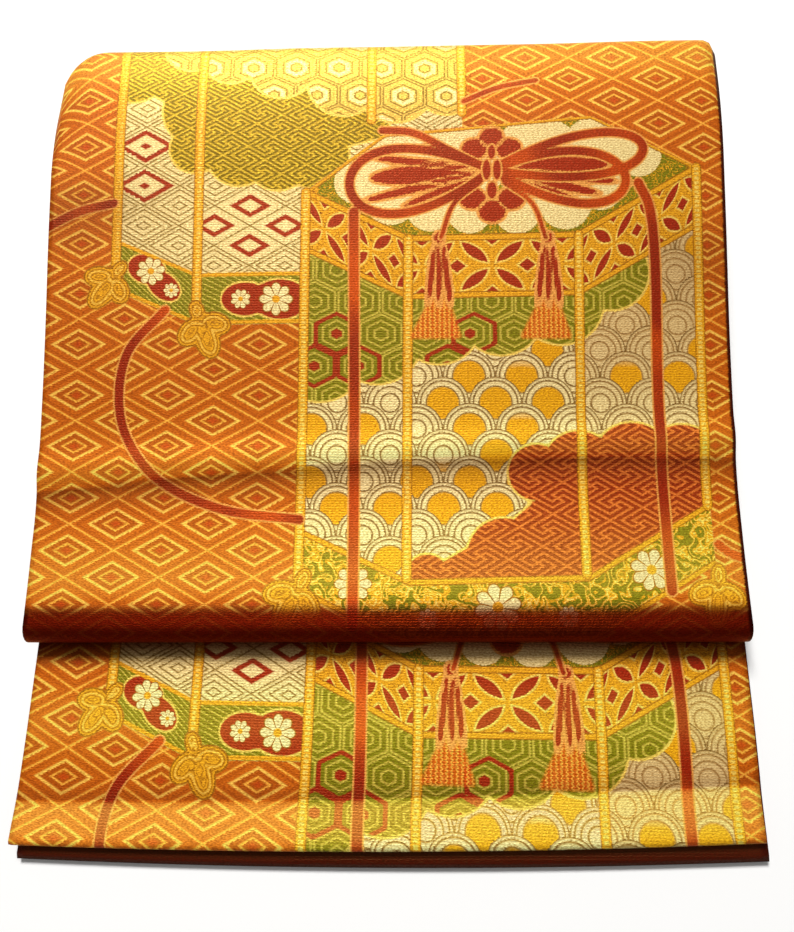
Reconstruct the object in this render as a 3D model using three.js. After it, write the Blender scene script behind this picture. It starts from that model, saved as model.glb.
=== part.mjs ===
// A brocade sash, folded for storage, in millimetres with +Z up.
// Both ends of the cloth are folded to its middle and the whole is folded once more, which
// makes a strip of four plies. That strip lies in a Z: a top run from the back to the front
// roll, a middle run back to the rear fold, and a bottom run out to the lip at the front.
// The four plies are one sheet without a cut, so the whole sash is one solid.
import * as THREE from "three";

const clothWidth = 310;
const clothThickness = 1.3;
const rollPitch = 1.75; // from ply to ply where the strip lies close
const rollRadius = 2 * rollPitch; // of the strip's middle in the front roll
const rollDepth = 94.5; // how far behind the lip the roll's axis is
const rearFoldDepth = 342;
const rearFoldRadius = 15.2;
const rearFoldPitch = 3.6;
const bottomHeight = 1.5 * rollPitch + clothThickness / 2; // middle of the bottom run

// The middle of the strip on the top run, from the back to the roll: how far it is behind the
// lip, its height, and the pitch of the plies, which spring apart towards the back.
const topRun = [
  { depth: 358, height: 50.2, pitch: 5.0 },
  { depth: 335, height: 48.9, pitch: 4.9 },
  { depth: 314, height: 46.5, pitch: 4.7 },
  { depth: 285, height: 41.2, pitch: 4.4 },
  { depth: 256, height: 35.7, pitch: 4.1 },
  { depth: 229, height: 30.5, pitch: 3.8 },
  { depth: 202, height: 25.7, pitch: 3.3 },
  { depth: 181, height: 22.4, pitch: 2.95 },
  { depth: 170, height: 21.8, pitch: 2.85 }, // the ridge of the old crease
  { depth: 161, height: 19.8, pitch: 2.5 },
  { depth: 149, height: 18.6, pitch: 2.2 },
  { depth: 133, height: 18.1, pitch: 2.0 },
  { depth: 115, height: 17.6, pitch: 1.85 },
  { depth: rollDepth, height: bottomHeight + 4 * rollPitch + 2 * rollRadius, pitch: rollPitch },
];

const middleRun = [
  { depth: rollDepth, height: bottomHeight + 4 * rollPitch, pitch: rollPitch },
  { depth: 115, height: 10.4, pitch: 1.77 },
  { depth: 150, height: 10.7, pitch: 1.9 },
  { depth: 181, height: 12.6, pitch: 2.1 },
  { depth: 231, height: 18.7, pitch: 2.5 },
  { depth: 286, height: 27.0, pitch: 3.0 },
  { depth: 321, height: 32.1, pitch: 3.4 },
  { depth: rearFoldDepth, height: bottomHeight + 2 * rearFoldRadius, pitch: rearFoldPitch },
];

const bottomRun = [
  { depth: rearFoldDepth, height: bottomHeight, pitch: rollPitch },
  { depth: 290, height: bottomHeight, pitch: rollPitch },
  { depth: 200, height: bottomHeight, pitch: rollPitch },
  { depth: 110, height: bottomHeight, pitch: rollPitch },
  { depth: 50, height: bottomHeight, pitch: rollPitch },
  { depth: 31, height: bottomHeight, pitch: rollPitch },
  { depth: 24, height: bottomHeight + 0.05, pitch: rollPitch }, // the lower crease
  { depth: 16, height: bottomHeight + 0.5, pitch: 1.9 },
  { depth: 7.5, height: bottomHeight + 0.9, pitch: 2.1 },
];

// Where each ply's middle lies in the strip, in pitches above the strip's own middle, and how
// far it has slipped to the right at the back of the top run, in the roll, in the rear fold
// and at the lip. The plies follow each other along the cloth in this order.
const plies = [
  { side: 0.5, slipBack: 1.4, slipRoll: 0.4, slipRear: 3.6, slipLip: 1.2, inset: 9 },
  { side: 1.5, slipBack: 0, slipRoll: 0, slipRear: 3.0, slipLip: 0, inset: 0 },
  { side: -1.5, slipBack: 4.2, slipRoll: 1.4, slipRear: 5.0, slipLip: 2.6, inset: 0 },
  { side: -0.5, slipBack: 2.8, slipRoll: 1.0, slipRear: 4.4, slipLip: 2.2, inset: 16 },
];
const lowerFoldReach = 6.6; // the lower of the two folds at the lip stands this far out
const lowerFoldSag = 0.25;

// How far the right-hand edge lies behind the left-hand one, at some distances from the lip.
const skews = [
  { depth: -2, lag: -1.5, bow: 3 },
  { depth: 24, lag: 6, bow: 2.5 },
  { depth: 60, lag: 1, bow: 0 },
  { depth: 92, lag: 0, bow: 0 },
  { depth: 166, lag: 16, bow: -2 },
  { depth: 250, lag: 11, bow: 0 },
  { depth: 365, lag: 8, bow: 0 },
];

// Where the columns of the sheet stand across its width, from its left edge to its right one.
const columns = [0, 0.012, 0.032, 0.065, 0.3, 0.55, 0.8, 0.98, 1];

// The rear corners of the top run are rounded and hang a little, the left one most.
const corners = [
  { edge: 0, breadth: 20, draw: 21, drop: 7 },
  { edge: 1, breadth: 6, draw: 5, drop: 2 },
];
const cornersFrom = 300; // depth where they begin
const cornersLow = 8; // height below which the cloth has square corners
const cornersHigh = 40;

const stepsPerRow = 2;
const rollSteps = 8;
const lipSteps = 5;
const lipMarks = 6; // how many marks of the strip, counted from the lip, belong to its end

const lerp = THREE.MathUtils.lerp;
const smooth = THREE.MathUtils.smoothstep;

// A smooth line through the rows of a run, as points of depth, height and pitch.
function runPoints(rows) {
  const line = new THREE.CatmullRomCurve3(
    rows.map((row) => new THREE.Vector3(row.depth, row.height, row.pitch)),
  );
  return line.getPoints((rows.length - 1) * stepsPerRow);
}

// The inner points of a half turn between two runs, bulging forward or backward.
function halfTurn(from, to, radius, way) {
  const points = [];
  for (let step = 1; step < rollSteps; step++) {
    const turn = step / rollSteps;
    points.push(
      new THREE.Vector3(
        from.x + way * radius * Math.sin(Math.PI * turn),
        lerp(from.y, to.y, (1 - Math.cos(Math.PI * turn)) / 2),
        lerp(from.z, to.z, turn),
      ),
    );
  }
  return points;
}

// The middle of the four-ply strip, from its rear end on top to the lip.
function stripLine() {
  const top = runPoints(topRun);
  const middle = runPoints(middleRun);
  const bottom = runPoints(bottomRun);
  const roll = halfTurn(top.at(-1), middle[0], rollRadius, -1);
  const rear = halfTurn(middle.at(-1), bottom[0], rearFoldRadius, 1);
  const points = [...top, ...roll, ...middle, ...rear, ...bottom];
  const rollAt = top.length + rollSteps / 2;
  const rearAt = top.length + roll.length + middle.length + rollSteps / 2;
  return points.map((point, index) => {
    const before = points[Math.max(index - 1, 0)];
    const after = points[Math.min(index + 1, points.length - 1)];
    const along = new THREE.Vector2(after.x - before.x, after.y - before.y).normalize();
    const up = new THREE.Vector2(along.y, -along.x);
    const last = points.length - 1;
    return { depth: point.x, height: point.y, pitch: point.z, along, up, rollAt, rearAt, index, last };
  });
}

// How far a ply has slipped to the right at a point of the strip.
function slipAt(ply, mark) {
  if (mark.index < mark.rollAt)
    return lerp(ply.slipBack, ply.slipRoll, smooth(mark.index, 0, mark.rollAt));
  if (mark.index < mark.rearAt)
    return lerp(ply.slipRoll, ply.slipRear, smooth(mark.index, mark.rollAt, mark.rearAt));
  return lerp(ply.slipRear, ply.slipLip, smooth(mark.index, mark.rearAt, mark.last));
}

// A ply's own middle, from the strip's rear end to the lip.
function plyLine(ply, strip) {
  return strip.map((mark) => {
    const atLip = ply.side < 0 ? smooth(mark.index, mark.last - lipMarks, mark.last) : 0;
    const offset = ply.side * mark.pitch;
    return {
      depth: mark.depth + mark.up.x * offset + mark.along.x * lowerFoldReach * atLip,
      height: mark.height + mark.up.y * offset - lowerFoldSag * atLip,
      slip: slipAt(ply, mark),
    };
  });
}

// The half turn by which the cloth goes from the end of one ply into the next.
function endFold(from, to, steps, way) {
  const radius = Math.hypot(to.depth - from.depth, to.height - from.height) / 2;
  const stations = [];
  for (let step = 1; step < steps; step++) {
    const turn = step / steps;
    const halfway = (1 - Math.cos(Math.PI * turn)) / 2;
    stations.push({
      depth: lerp(from.depth, to.depth, halfway) + way * radius * Math.sin(Math.PI * turn),
      height: lerp(from.height, to.height, halfway),
      slip: lerp(from.slip, to.slip, smooth(turn, 0, 1)),
    });
  }
  return stations;
}

// The whole cloth as one line of stations from one cut end to the other, with the way that
// its face looks at each.
function clothLine() {
  const strip = stripLine();
  const [inner, outer, under, last] = plies.map((ply) => plyLine(ply, strip));
  const rear = topRun[0].depth;
  const trimmed = (line, inset) =>
    line.filter((station, index) => index > strip[0].rollAt || station.depth < rear - inset);
  const goingOut = trimmed(inner, plies[0].inset);
  const comingBack = [...outer].reverse();
  const goingUnder = [...under];
  const comingHome = trimmed(last, plies[3].inset).reverse();
  const stations = [
    ...goingOut,
    ...endFold(goingOut.at(-1), comingBack[0], lipSteps, -1),
    ...comingBack,
    ...endFold(comingBack.at(-1), goingUnder[0], rollSteps, 1),
    ...goingUnder,
    ...endFold(goingUnder.at(-1), comingHome[0], lipSteps, -1),
    ...comingHome,
  ];
  return stations.map((station, index) => {
    const before = stations[Math.max(index - 1, 0)];
    const after = stations[Math.min(index + 1, stations.length - 1)];
    const along = new THREE.Vector2(after.depth - before.depth, after.height - before.height);
    along.normalize();
    return { ...station, faceDepth: -along.y, faceHeight: along.x };
  });
}

function skewAt(depth, across) {
  let index = skews.findIndex((row) => row.depth > depth);
  if (index < 0) index = skews.length - 1;
  index = Math.max(index, 1);
  const before = skews[index - 1];
  const after = skews[index];
  const share = smooth(depth, before.depth, after.depth);
  const bow = lerp(before.bow, after.bow, share) * (4 * across * (1 - across) - 0.5);
  return lerp(before.lag, after.lag, share) * (across - 0.5) - bow;
}

// How much of a corner's rounding there is at a distance from the edge, as in a quarter ellipse.
function roundingAt(corner, across) {
  const inward = Math.abs(across - corner.edge) * clothWidth;
  const left = Math.max(1 - inward / corner.breadth, 0);
  return 1 - Math.sqrt(1 - left * left);
}

// Where a point of the fold's section comes to lie at one place across the width.
function placed(across, depth, height, slip) {
  const rearward = Math.max(depth - cornersFrom, 0) / (topRun[0].depth - cornersFrom);
  const corner = rearward * smooth(height, cornersLow, cornersHigh);
  const draw = corners.reduce((sum, row) => sum + row.draw * roundingAt(row, across), 0);
  const drop = corners.reduce((sum, row) => sum + row.drop * roundingAt(row, across), 0);
  return new THREE.Vector3(
    (across - 0.5) * clothWidth + slip,
    depth + skewAt(depth, across) - corner * draw,
    height - corner * drop,
  );
}

// The sheet starts as a flat box of one step in its thickness, whose rows are then laid at the
// stations of the fold.
function foldedSheet(stations) {
  const across = columns.length - 1;
  const along = stations.length - 1;
  const sheet = new THREE.BoxGeometry(1, 1, 1, across, along, 1);
  const spot = sheet.getAttribute("position");
  for (let index = 0; index < spot.count; index++) {
    const column = columns[Math.round((spot.getX(index) + 0.5) * across)];
    const station = stations[Math.round((spot.getY(index) + 0.5) * along)];
    const outward = Math.sign(spot.getZ(index)) * (clothThickness / 2);
    const point = placed(
      column,
      station.depth + station.faceDepth * outward,
      station.height + station.faceHeight * outward,
      station.slip,
    );
    spot.setXYZ(index, point.x, point.y, Math.max(point.z, 0));
  }
  sheet.deleteAttribute("uv");
  sheet.computeVertexNormals();
  sheet.computeBoundingBox();
  return sheet;
}

const obiGeometry = foldedSheet(clothLine());
const middleOfBase = obiGeometry.boundingBox.getCenter(new THREE.Vector3());
obiGeometry.translate(-middleOfBase.x, -middleOfBase.y, -obiGeometry.boundingBox.min.z);

const brocade = new THREE.MeshStandardMaterial({ color: 0xc8741c, roughness: 0.55, metalness: 0.15 });
const obi = new THREE.Mesh(obiGeometry, brocade);
obi.name = "obi";

const sash = new THREE.Group();
sash.add(obi);

export default sash;
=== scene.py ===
# A brocade sash folded for storage: its folds, woven patterns, floor, light and camera.
import math
import bmesh
import bpy
import numpy as np
from mathutils import Matrix, Vector


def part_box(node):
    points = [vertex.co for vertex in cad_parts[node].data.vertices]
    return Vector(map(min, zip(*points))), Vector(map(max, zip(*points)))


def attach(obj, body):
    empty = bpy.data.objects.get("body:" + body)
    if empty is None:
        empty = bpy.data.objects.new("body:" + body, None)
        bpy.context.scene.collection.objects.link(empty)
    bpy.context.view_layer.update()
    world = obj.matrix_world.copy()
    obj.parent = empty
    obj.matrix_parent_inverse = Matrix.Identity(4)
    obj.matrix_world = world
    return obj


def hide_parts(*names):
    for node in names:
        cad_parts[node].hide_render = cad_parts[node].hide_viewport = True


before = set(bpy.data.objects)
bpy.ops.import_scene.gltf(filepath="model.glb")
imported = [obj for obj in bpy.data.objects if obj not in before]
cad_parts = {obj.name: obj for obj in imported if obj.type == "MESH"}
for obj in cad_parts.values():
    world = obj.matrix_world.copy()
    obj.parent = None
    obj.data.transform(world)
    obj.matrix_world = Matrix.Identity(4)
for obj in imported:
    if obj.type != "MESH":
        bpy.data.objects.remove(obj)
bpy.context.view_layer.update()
metre = 0.001  # the fold and the patterns are worked out in millimetres
farOff = 1000.0  # farther in mm than anything on the cloth

# The fold: the middle of a strip of four plies, then each ply's place in it
fold = {
    "width": 310,
    "thickness": 1.3,
    "rollPitch": 1.75,  # from ply to ply where the strip lies close
    "rollRadius": 3.5,
    "rollDepth": 94.5,
    "rearDepth": 342,
    "rearRadius": 15.2,
    "rearPitch": 3.6,
    "lowerReach": 6.6,  # the lower fold at the lip stands this far out
    "lowerSag": 0.25,
    "fine": 12,  # times finer than the frame's own solid
}
runSteps, turnSteps, tightSteps, lipSteps = (count * fold["fine"] for count in (2, 8, 5, 6))
fold["floorHeight"] = 1.5 * fold["rollPitch"] + fold["thickness"] / 2
rollTop = fold["floorHeight"] + 4 * fold["rollPitch"] + 2 * fold["rollRadius"]
rollFoot = fold["floorHeight"] + 4 * fold["rollPitch"]

# Depth behind the lip, height and pitch of the plies
topRun = [
    (358, 50.2, 5.0),
    (335, 48.9, 4.9),
    (314, 46.5, 4.7),
    (285, 41.2, 4.4),
    (256, 35.7, 4.1),
    (229, 30.5, 3.8),
    (202, 25.7, 3.3),
    (181, 22.4, 2.95),
    (170, 21.8, 2.85),  # the ridge of the old crease
    (161, 19.8, 2.5),
    (149, 18.6, 2.2),
    (133, 18.1, 2.0),
    (115, 17.6, 1.85),
    (fold["rollDepth"], rollTop, fold["rollPitch"]),
]
middleRun = [
    (fold["rollDepth"], rollFoot, fold["rollPitch"]),
    (115, 10.4, 1.77),
    (150, 10.7, 1.9),
    (181, 12.6, 2.1),
    (231, 18.7, 2.5),
    (286, 27.0, 3.0),
    (321, 32.1, 3.4),
    (fold["rearDepth"], fold["floorHeight"] + 2 * fold["rearRadius"], fold["rearPitch"]),
]
bottomRun = [(depth, fold["floorHeight"], fold["rollPitch"]) for depth in (342, 290, 200, 110, 50, 31)]
bottomRun += [
    (24, fold["floorHeight"] + 0.05, 1.75),  # the lower crease
    (16, fold["floorHeight"] + 0.5, 1.9),
    (7.5, fold["floorHeight"] + 0.9, 2.1),
]

# Side of the strip in pitches, slip to the right at back, roll, rear fold and lip, cut end's inset
plies = [
    (0.5, 1.4, 0.4, 3.6, 1.2, 9),
    (1.5, 0, 0, 3.0, 0, 0),
    (-1.5, 4.2, 1.4, 5.0, 2.6, 0),
    (-0.5, 2.8, 1.0, 4.4, 2.2, 16),
]
# Depth, how far the right edge lies behind the left one, and the bow of the line between them
skews = [
    (-2, -1.5, 3),
    (24, 6, 2.5),
    (60, 1, 0),
    (92, 0, 0),
    (166, 16, -2),
    (250, 11, 0),
    (365, 8, 0),
]
# The back corners: edge, breadth, draw and drop of each, and from what depth and height they fall
corners = {"edges": [(0, 20, 21, 7), (1, 6, 5, 2)], "from": 300, "low": 8, "high": 40}
# Slow unevenness: pairs of crossed waves, each with its turn across, turn in depth and start
ripples = {
    "pairs": [(1, (9.1, 0.021, 0.6), (-4.3, 0.037, 0)), (0.6, (17, -0.012, 2.1), (6.7, 0.061, 0))],
    "height": 0.35,
    "low": 9,
    "high": 24,
}


def lerp(a, b, share):
    return a + (b - a) * share


def smooth(value, low, high):
    share = np.clip((value - low) / (high - low), 0, 1)
    return share * share * (3 - 2 * share)


# A smooth line through the rows of a run, evenly eased as a hand-drawn curve is
def runPoints(rows, perRow):
    rows = [np.array(row, float) for row in rows]
    rows = [2 * rows[0] - rows[1], *rows, 2 * rows[-1] - rows[-2]]
    points = []
    for a, b, c, d in zip(rows, rows[1:], rows[2:], rows[3:]):
        before, here, after = (np.dot(q - p, q - p) ** 0.25 for p, q in ((a, b), (b, c), (c, d)))
        leave = ((b - a) / before - (c - a) / (before + here) + (c - b) / here) * here
        reach = ((c - b) / here - (d - b) / (here + after) + (d - c) / after) * here
        for step in range(perRow):
            t = step / perRow
            bend = (2 * b - 2 * c + leave + reach) * t**3
            points.append(b + leave * t + (3 * c - 3 * b - 2 * leave - reach) * t * t + bend)
    return np.array(points + [rows[-2]])


def halfTurn(start, end, radius, way, steps):
    t = np.arange(1, steps) / steps
    depth = start[0] + way * radius * np.sin(np.pi * t)
    height = lerp(start[1], end[1], (1 - np.cos(np.pi * t)) / 2)
    return np.stack([depth, height, lerp(start[2], end[2], t)], axis=1)


# The four plies' middles, each from the strip's rear end on top to the lip
def plyLines():
    top, middle, bottom = (runPoints(rows, runSteps) for rows in (topRun, middleRun, bottomRun))
    roll = halfTurn(top[-1], middle[0], fold["rollRadius"], -1, turnSteps)
    rear = halfTurn(middle[-1], bottom[0], fold["rearRadius"], 1, turnSteps)
    strip = np.concatenate([top, roll, middle, rear, bottom])
    rollAt = len(top) + turnSteps // 2
    rearAt = len(top) + len(roll) + len(middle) + turnSteps // 2
    index = np.arange(len(strip))
    last = index[-1]
    along = np.gradient(strip[:, :2], axis=0)
    along /= np.linalg.norm(along, axis=1)[:, None]
    atLip = smooth(index, last - lipSteps, last)
    lines = []
    for side, slipBack, slipRoll, slipRear, slipLip, _ in plies:
        slip = lerp(slipBack, slipRoll, smooth(index, 0, rollAt))
        slip += (slipRear - slipRoll) * smooth(index, rollAt, rearAt)
        slip += (slipLip - slipRear) * smooth(index, rearAt, last)
        offset = side * strip[:, 2]
        lower = atLip if side < 0 else atLip * 0
        depth = strip[:, 0] + along[:, 1] * offset + along[:, 0] * fold["lowerReach"] * lower
        height = strip[:, 1] - along[:, 0] * offset - fold["lowerSag"] * lower
        lines.append(np.stack([depth, height, slip], axis=1))
    return lines, rollAt


def endFold(start, end, steps, way):
    radius = math.hypot(end[0] - start[0], end[1] - start[1]) / 2
    t = np.arange(1, steps) / steps
    halfway = (1 - np.cos(np.pi * t)) / 2
    depth = lerp(start[0], end[0], halfway) + way * radius * np.sin(np.pi * t)
    slip = lerp(start[2], end[2], smooth(t, 0, 1))
    return np.stack([depth, lerp(start[1], end[1], halfway), slip], axis=1)


# The whole cloth from cut end to cut end: depth, height, slip, the way of its face, and the
# length along it, counted from the lip on the ply that shows
def clothLine():
    lines, rollAt = plyLines()
    rear = topRun[0][0]
    index = np.arange(len(lines[0]))
    inner, outer, under, last = lines
    inner = inner[(index > rollAt) | (inner[:, 0] < rear - plies[0][5])]
    last = last[(index > rollAt) | (last[:, 0] < rear - plies[3][5])][::-1]
    outer = outer[::-1]
    turns = [
        endFold(inner[-1], outer[0], tightSteps, -1),
        endFold(outer[-1], under[0], turnSteps, 1),
        endFold(under[-1], last[0], tightSteps, -1),
    ]
    line = np.concatenate([inner, turns[0], outer, turns[1], under, turns[2], last])
    length = np.concatenate([[0], np.cumsum(np.linalg.norm(np.diff(line[:, :2], axis=0), axis=1))])
    length -= length[len(inner) + len(turns[0])]
    along = np.gradient(line[:, :2], axis=0)
    along /= np.linalg.norm(along, axis=1)[:, None]
    marks = {
        "start": length[0],
        "underStart": length[len(inner) + len(turns[0]) + len(outer) + len(turns[1])],
        "end": length[-1],
    }
    return line, along, length, marks


def skewAt(depth, across):
    rows = np.array(skews, float)
    slot = np.clip(np.searchsorted(rows[:, 0], depth, side="right"), 1, len(rows) - 1)
    before, after = rows[slot - 1], rows[slot]
    share = smooth(depth, before[..., 0], after[..., 0])
    arch = lerp(before[..., 2], after[..., 2], share) * (4 * across * (1 - across) - 0.5)
    return lerp(before[..., 1], after[..., 1], share) * (across - 0.5) - arch


# All plies share it, so that none comes through its neighbour
def unevenness(across, depth, height):
    wave = 0
    for share, *pair in ripples["pairs"]:
        first, second = (np.sin(across * turn + depth * rise + start) for turn, rise, start in pair)
        wave = wave + share * first * second
    return ripples["height"] * wave * smooth(height, ripples["low"], ripples["high"])


def placed(across, depth, height, slip):
    rearward = np.maximum(depth - corners["from"], 0) / (topRun[0][0] - corners["from"])
    corner = rearward * smooth(height, corners["low"], corners["high"])
    draw = 0
    drop = 0
    for edge, breadth, cornerDraw, cornerDrop in corners["edges"]:
        left = np.maximum(1 - np.abs(across - edge) * fold["width"] / breadth, 0)
        rounding = 1 - np.sqrt(1 - left * left)
        draw = draw + cornerDraw * rounding
        drop = drop + cornerDrop * rounding
    x = (across - 0.5) * fold["width"] + slip
    y = depth + skewAt(depth, across) - corner * draw
    z = height - corner * drop + unevenness(across, depth, height)
    return np.stack([x, y, z], axis=-1)


line, along, length, marks = clothLine()
edgePoints = np.concatenate([placed(edge, *line.T) for edge in (np.zeros(len(line)), np.ones(len(line)))])
frameLow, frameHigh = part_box("obi")
rawMiddle = (edgePoints.min(axis=0) + edgePoints.max(axis=0)) / 2
shift = np.array([(frameLow.x + frameHigh.x) / 2, (frameLow.y + frameHigh.y) / 2, 0.0])
shift[:2] -= rawMiddle[:2] * metre
print("cloth folded,", round(length[-1] - length[0]), "mm long")

# The woven design in millimetres: x from the left selvedge, y along the cloth, one repeat
# counted from its foot. Near the lip the cloth lies slid and turned a little.
repeat = {"foot": 600.0, "length": 371.2}
lowerLay = {"slide": -3.0, "shift": -6.0, "turn": 0.0385, "pivot": 15, "from": 150, "to": 500}


def wovenSpot(across, place, depth, alongDepth):
    lower = 1 - smooth(place, lowerLay["from"], lowerLay["to"])
    x = across * fold["width"]
    turned = lowerLay["shift"] + lowerLay["turn"] * (x - lowerLay["pivot"])
    y = place + skewAt(depth, across) * alongDepth + turned * lower
    return x + lowerLay["slide"] * lower, y


# Distances in the design: to a line, to a closed outline, discs or an oval, below 0 inside
def fromLine(x, y, points):
    best = np.full(len(x), farOff)
    for (ax, ay), (bx, by) in zip(points, points[1:]):
        dx, dy = bx - ax, by - ay
        t = np.clip(((x - ax) * dx + (y - ay) * dy) / (dx * dx + dy * dy + 1e-9), 0, 1)
        best = np.minimum(best, np.hypot(x - ax - t * dx, y - ay - t * dy))
    return best


def fromOutline(x, y, points):
    closed = [*points, points[0]]
    inside = np.zeros(len(x), bool)
    for (ax, ay), (bx, by) in zip(closed, closed[1:]):
        if ay != by:
            inside ^= ((ay > y) != (by > y)) & (x < (bx - ax) * (y - ay) / (by - ay) + ax)
    return np.where(inside, -1, 1) * fromLine(x, y, closed)


def fromDiscs(x, y, discs):
    return np.min([np.hypot(x - cx, y - cy) - radius for cx, cy, radius in discs], axis=0)


def fromOval(x, y, middle, reach, turn):
    c, s = math.cos(math.radians(turn)), math.sin(math.radians(turn))
    px, py = x - middle[0], y - middle[1]
    ex, ey = (px * c + py * s) / reach[0], (py * c - px * s) / reach[1]
    near = np.hypot(ex, ey)
    return near * (near - 1) / np.maximum(np.hypot(ex / reach[0], ey / reach[1]), 1e-6)


def curve(points, steps=8):
    return [tuple(point) for point in runPoints(points, steps)]


# One drop-shaped loop of a bow, from the knot out and back
def bowLoop(knot, reach, breadth, turn, steps=40):
    c, s = math.cos(math.radians(turn)), math.sin(math.radians(turn))
    points = []
    for t in np.linspace(0, 2 * math.pi, steps + 1):
        out = reach * (1 - math.cos(t)) / 2
        side = breadth * math.sin(t) * math.sin(t / 2)
        points.append((knot[0] + out * c - side * s, knot[1] + out * s + side * c))
    return points


# A six-sided box seen from the front: its faces' edges, and how far these edges lie above
# the front's where the faces slant away
box = {
    "edges": (117, 164, 242, 297),
    "rises": (22, 0, 2, 34),
    "unrolled": (93.5, 164, 242, 324.5),
    "rimTop": 811.5,
    "rimFoot": 784.5,
    "bandTop": 655.5,
    "foot": 629,
    "back": [(249, 870), (153, 861)],
    "barLift": (11, 28, 30, 60),  # of each bar's foot above the box's
    "barLean": 1,
}
panel = {
    "edges": (31, 68, 117),
    "rises": (16, 0, 1),
    "bandTop": 794,
    "foot": 771,
    "top": 948,
    "right": 189,
    "far": [(117, 834), (153, 861), (189, 865)],  # where the box hides the rest
    "topBars": [(147, 868), (189, 872)],  # bars that reach down to the box
}
# Discs along each cloud's edge, and the outline that they edge
clouds = {
    "pale": [
        [(62, 907, 13), (81, 900, 13), (105, 894, 15), (134, 887, 17), (158, 885, 18), (182, 886, 15)],
        [(58, 905), (90, 900), (130, 885), (190, 880), (190, 950), (45, 950)],
    ],
    "olive": [
        [(36, 892, 15), (69, 873, 19), (66, 854, 12), (86, 851, 15), (104, 848, 14), (121, 851, 16)],
        [(25, 950), (25, 892), (60, 872), (117, 850), (155, 860), (160, 950)],
    ],
    "green": [
        [(124, 757, 21), (150, 764, 20), (178, 772, 19), (206, 776, 19), (233, 782, 20), (256, 796, 18)],
        [(110, 830), (110, 762), (170, 775), (258, 790), (268, 830)],
    ],
    "fretted": [
        [(221, 704, 13), (240, 706, 17), (264, 709, 18), (286, 709, 17), (172, 658, 10), (206, 667, 17)],
        [(163, 636), (170, 660), (206, 680), (235, 705), (300, 715), (300, 636)],
    ],
}
lidPale = [(140, 838, 10), (160, 845, 17), (188, 848, 21), (224, 849, 21), (252, 853, 17), (270, 852, 11)]
lidPale += [(156, 830, 12), (174, 826, 11), (192, 824, 10), (214, 825, 11), (236, 828, 12), (252, 836, 11)]
# Nested diamonds on the panel: those with a red ring, in steps of half a diamond, and the ring's
# place between the middle and the edge
creamLattice = {"x": 43, "y": 817.4, "wide": 16.2, "tall": 9.45}
creamLattice |= {"lines": (0.2, 0.5, 0.8, 1.0), "half": 0.04, "soft": 0.06}
redDiamonds = [(0, 4, 0.72), (0, 2, 0.72), (3, 1, 0.46), (2, 0, 0.46), (4, 0, 0.46), (3, -1, 0.46)]
hexLattice = {"x": 131.5, "y": 767.2, "wide": 20.1, "row": 14.8}
hexLattice |= {"lines": (0.3, 0.62, 0.92), "half": 0.045, "soft": 0.06}
redHexagons = [(0, 0), (-0.5, -1), (0.5, -1), (3.1, 0), (2.5, -1)]
# Flowers: x, y, size and turn. Cartouches: middle, reach each way and turn.
flowers = [
    (47, 796, 6.5, 10), (56.5, 787, 3.5, 0), (104, 783, 7.5, 0), (88, 783, 4.5, 20),
    (202, 645, 10, 12), (269, 661, 9, 30), (140, 655, 8, 0), (172, 640, 4.5, 0), (232, 641, 4.5, 20),
]
cartouches = [
    ((45, 797), (9, 7), -20),
    ((53, 789), (9, 6), -40),
    ((90, 783), (11, 8), 0),
    ((106, 783), (13, 9.5), 0),
]
knot = (202.5, 844)
bow = {
    "loops": [(66, 20, 187), (71, 13, 9), (62, 16, -5)],  # reach, breadth and turn
    "cord": 2.3,
    # Leaves inside the loops: start and end from the knot, breadth and turn
    "leaves": [
        (7, 56, 4.8, 184), (7, 60, 2.1, 194), (7, 54, 1.9, 174), (8, 44, 1.8, 203),
        (7, 54, 4.2, 3), (7, 57, 2.0, -5.5), (7, 51, 2.2, -13), (8, 43, 1.9, -21),
    ],
    # Petals round the knot: aside, up, half width and half height
    "lobes": [
        (0, 15.5, 5.6, 5), (-8, 10, 6, 5), (8, 10, 6, 5),
        (0, -19.5, 6.4, 5.4), (-9, -13.5, 6.2, 5.2), (9, -13.5, 6.2, 5.2),
    ],
    # The cord's turns round the knot
    "wraps": [(-2.4, 0, 2.2, 5.2), (2.4, 0, 2.2, 5.2), (0, 8.6, 2.1, 3.8), (0, -9.6, 2.6, 4.4)],
}
# Cords beside the bow: half a width, and the few points that each runs through
cords = [
    (2.3, [(29, 828), (14, 824), (-3, 815)]),
    (2.3, [(54, 778), (37, 757), (36, 726), (52, 702), (80, 688), (116, 683)]),
    (1.6, [(190, 878), (206, 885), (224, 889)]),
    (2.3, [(299, 672), (304, 668), (313, 665)]),
    (2.5, [(139, 824), (139.6, 740), (140, 637)]),
    (2.5, [(270, 838), (275, 826), (276.6, 740), (277, 652)]),
    (2.0, [(152, 863), (166, 862), (182, 854), (198, 846)]),
    (1.3, [(197, 838), (185, 828), (179, 812)]),
    (1.3, [(208, 838), (221, 828), (227, 812)]),
]
tassels = {
    "heads": [(178, 812), (228, 812)],
    "headSize": (2.4, 2.8),
    "neck": 3,
    "length": 28,
    "stripes": (-3.4, 0, 3.4),  # aside from the middle
    "stripeHalf": 1.5,
    "lean": 2,  # degrees for each mm aside
    "skirt": (12, 9, 15),  # left, right and down
    "skirtTop": 3,
    "round": 1,
}
# Scroll feet: middle, size and turn. Lobes of each: turn, length and breadth in its sizes.
scrollFeet = [((116, 652), 17, 245), ((297, 654), 16, 262), ((30, 793), 15, 235), ((70, 773), 16, 290)]
scrollLobes = [(-58, 0.85, 0.62), (0, 1.1, 0.66), (58, 0.85, 0.62), (180, 0.6, 0.4)]
scrollReach = {"out": 0.5, "half": 0.55}


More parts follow.
